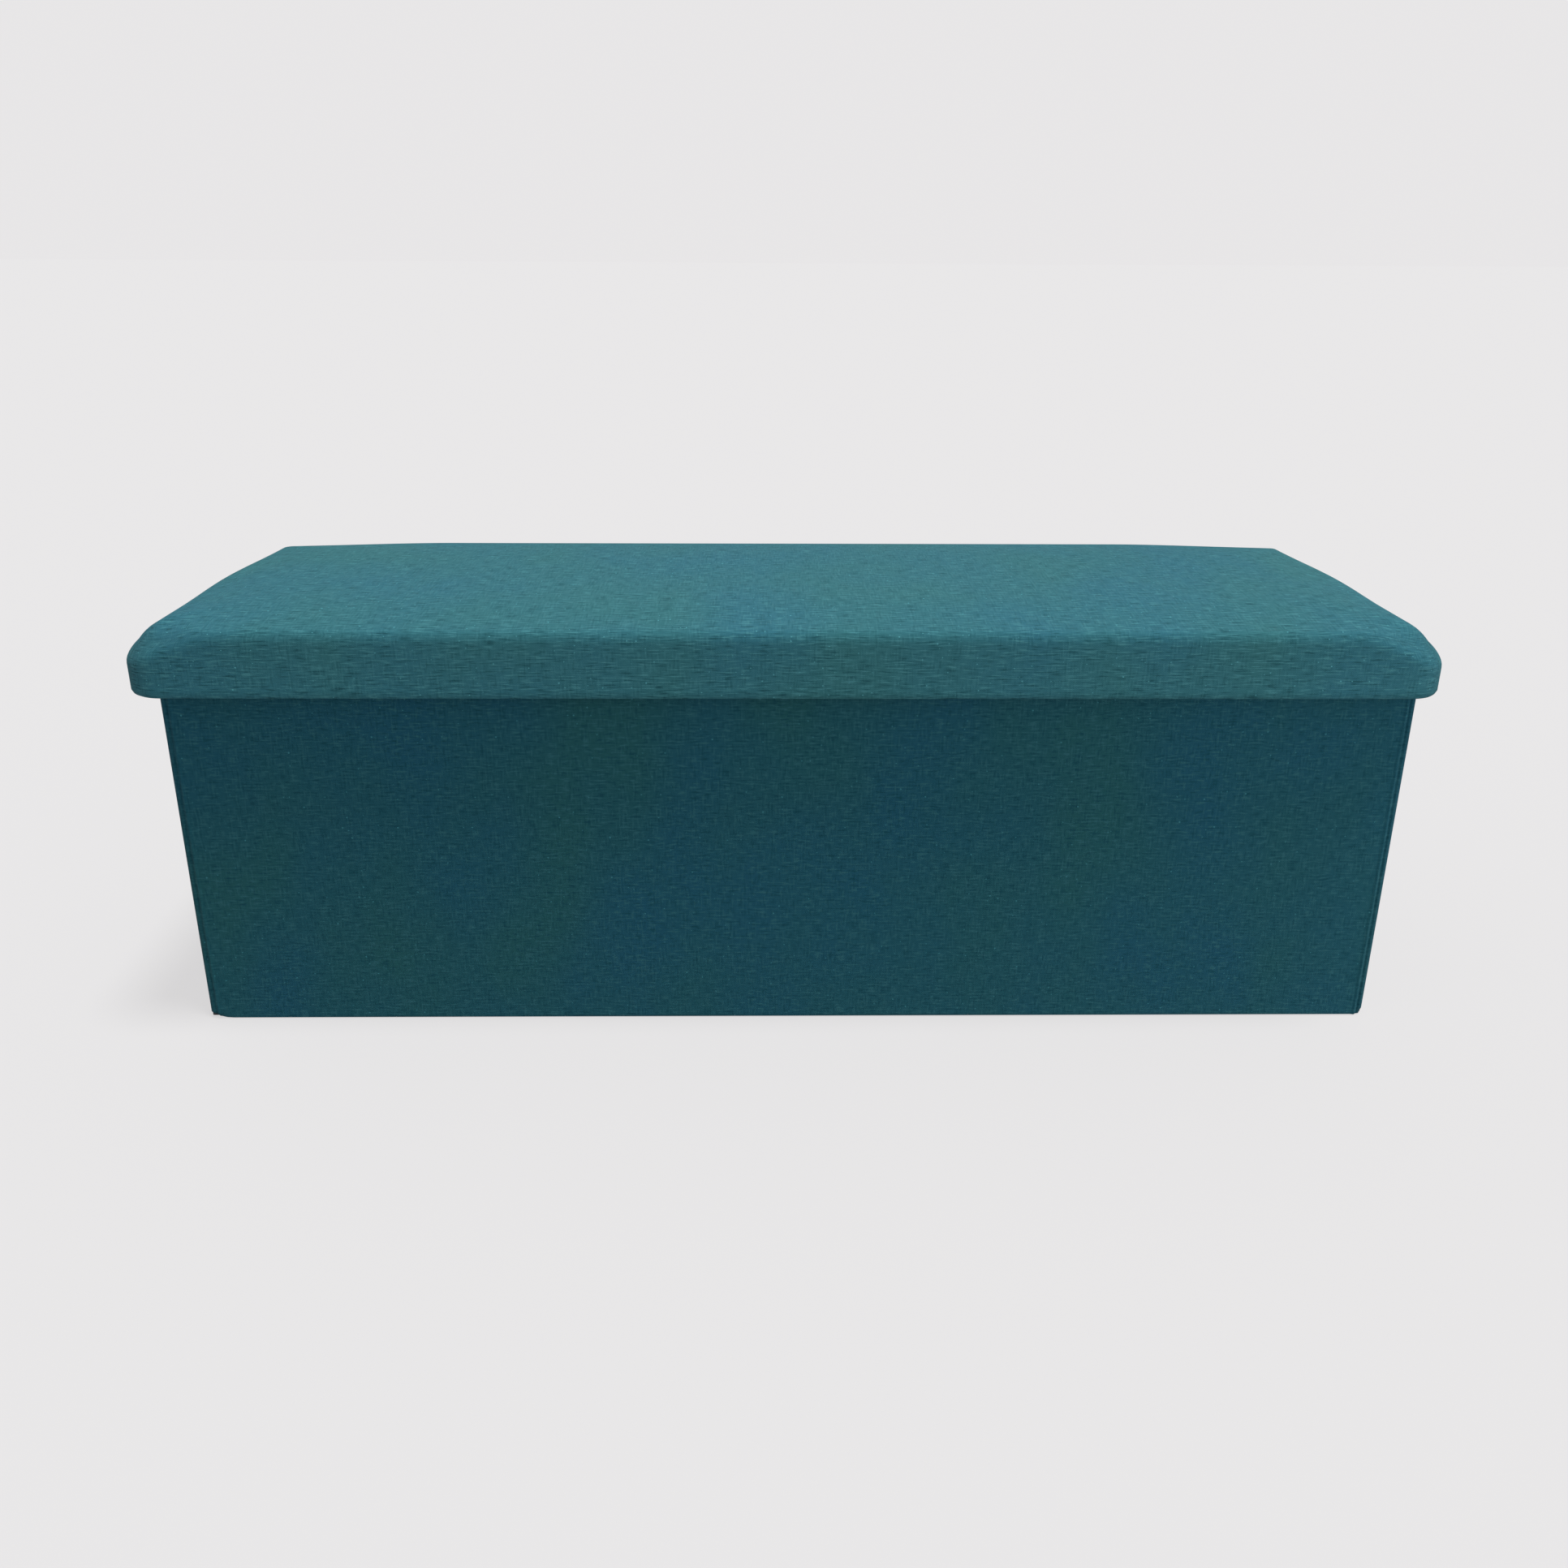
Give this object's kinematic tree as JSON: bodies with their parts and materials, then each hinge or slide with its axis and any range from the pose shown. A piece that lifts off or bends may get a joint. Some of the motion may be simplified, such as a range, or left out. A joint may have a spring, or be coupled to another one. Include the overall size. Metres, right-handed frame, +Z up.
{
  "type": "storage bench",
  "caption": "Long low fabric covered storage bench with a crowned, padded lift-off lid whose skirt overhangs a plain box with folding ends.",
  "frame": {"origin": "centre of the footprint, on the floor", "axes": "+X to the right along the bench seen from the front, +Y to the back, +Z up"},
  "size_m": [1.1, 0.38, 0.3799],
  "materials": {
    "petrol_fabric": "matte",
    "black_nonwoven": "matte",
    "black_webbing": "matte",
    "fibreboard": "matte",
    "foam": "matte",
    "staple_steel": "satin"
  },
  "bodies": {
    "base": {"base_cover": "black_nonwoven", "base_board": "fibreboard", "base_pull_tab": "black_webbing"},
    "back_wall": {"back_wall_outer_cover": "petrol_fabric", "back_wall_board": "fibreboard", "back_wall_lining": "black_nonwoven", "left_rear_corner_tape": "black_nonwoven", "right_rear_corner_tape": "black_nonwoven", "divider_tape": "black_nonwoven"},
    "left_rear_end": {"left_rear_end_outer_cover": "petrol_fabric", "left_rear_end_board": "fibreboard", "left_rear_end_lining": "black_nonwoven", "left_fold_tape": "petrol_fabric"},
    "left_front_end": {"left_front_end_outer_cover": "petrol_fabric", "left_front_end_board": "fibreboard", "left_front_end_lining": "black_nonwoven", "left_front_corner_tape": "black_nonwoven"},
    "front_wall": {"front_wall_outer_cover": "petrol_fabric", "front_wall_board": "fibreboard", "front_wall_lining": "black_nonwoven", "right_front_corner_tape": "black_nonwoven"},
    "right_rear_end": {"right_rear_end_outer_cover": "petrol_fabric", "right_rear_end_board": "fibreboard", "right_rear_end_lining": "black_nonwoven", "right_fold_tape": "petrol_fabric"},
    "right_front_end": {"right_front_end_outer_cover": "petrol_fabric", "right_front_end_board": "fibreboard", "right_front_end_lining": "black_nonwoven"},
    "divider": {"divider_cover": "black_nonwoven", "divider_board": "fibreboard"},
    "lid": {"lid_cover": "petrol_fabric", "lid_foam": "foam", "lid_board": "fibreboard", "lid_lining": "black_nonwoven", "lid_rim_front": "fibreboard", "lid_rim_back": "fibreboard", "lid_rim_left": "fibreboard", "lid_rim_right": "fibreboard", "lid_staples": "staple_steel"}
  },
  "joints": [
    {"name": "box_fold_lift", "type": "slide", "parent": "base", "child": "back_wall", "axis": [0, 0, -1], "range_m": [-0.267, 0]},
    {"name": "wall_fold", "type": "hinge", "parent": "back_wall", "child": "left_rear_end", "pos_m": [-0.5228, 0.1628, 0], "axis": [0, 0, -1], "range_deg": [-90, 0], "deforming": ["left_rear_corner_tape"]},
    {"name": "left_end_fold", "type": "hinge", "parent": "left_rear_end", "child": "left_front_end", "pos_m": [-0.5302, 0, 0], "axis": [0, 0, 1], "range_deg": [-180, 0], "deforming": ["left_fold_tape"]},
    {"name": "front_wall_fold", "type": "hinge", "parent": "left_front_end", "child": "front_wall", "pos_m": [-0.5228, -0.1628, 0], "axis": [0, 0, 1], "range_deg": [0, 90], "deforming": ["left_front_corner_tape"]},
    {"name": "right_rear_fold", "type": "hinge", "parent": "back_wall", "child": "right_rear_end", "pos_m": [0.5228, 0.1628, 0], "axis": [0, 0, 1], "range_deg": [-90, 0], "deforming": ["right_rear_corner_tape"]},
    {"name": "right_end_fold", "type": "hinge", "parent": "right_rear_end", "child": "right_front_end", "pos_m": [0.5302, 0, 0], "axis": [0, 0, 1], "range_deg": [0, 180], "deforming": ["right_fold_tape", "right_front_corner_tape"]},
    {"name": "divider_fold", "type": "hinge", "parent": "back_wall", "child": "divider", "pos_m": [0.0032, 0.1628, 0], "axis": [0, 0, 1], "range_deg": [0, 90], "deforming": ["divider_tape"]},
    {"name": "lid_lift", "type": "slide", "parent": "back_wall", "child": "lid", "axis": [0, 0, 1], "range_m": [0, 0.4]}
  ],
  "couplings": [
    {"joint": "wall_fold", "follows": "box_fold_lift", "rad_per_m": 5.88},
    {"joint": "left_end_fold", "follows": "box_fold_lift", "rad_per_m": 11.76},
    {"joint": "front_wall_fold", "follows": "box_fold_lift", "rad_per_m": -5.88},
    {"joint": "right_rear_fold", "follows": "box_fold_lift", "rad_per_m": 5.88},
    {"joint": "right_end_fold", "follows": "box_fold_lift", "rad_per_m": -11.76},
    {"joint": "divider_fold", "follows": "box_fold_lift", "rad_per_m": -5.88}
  ]
}
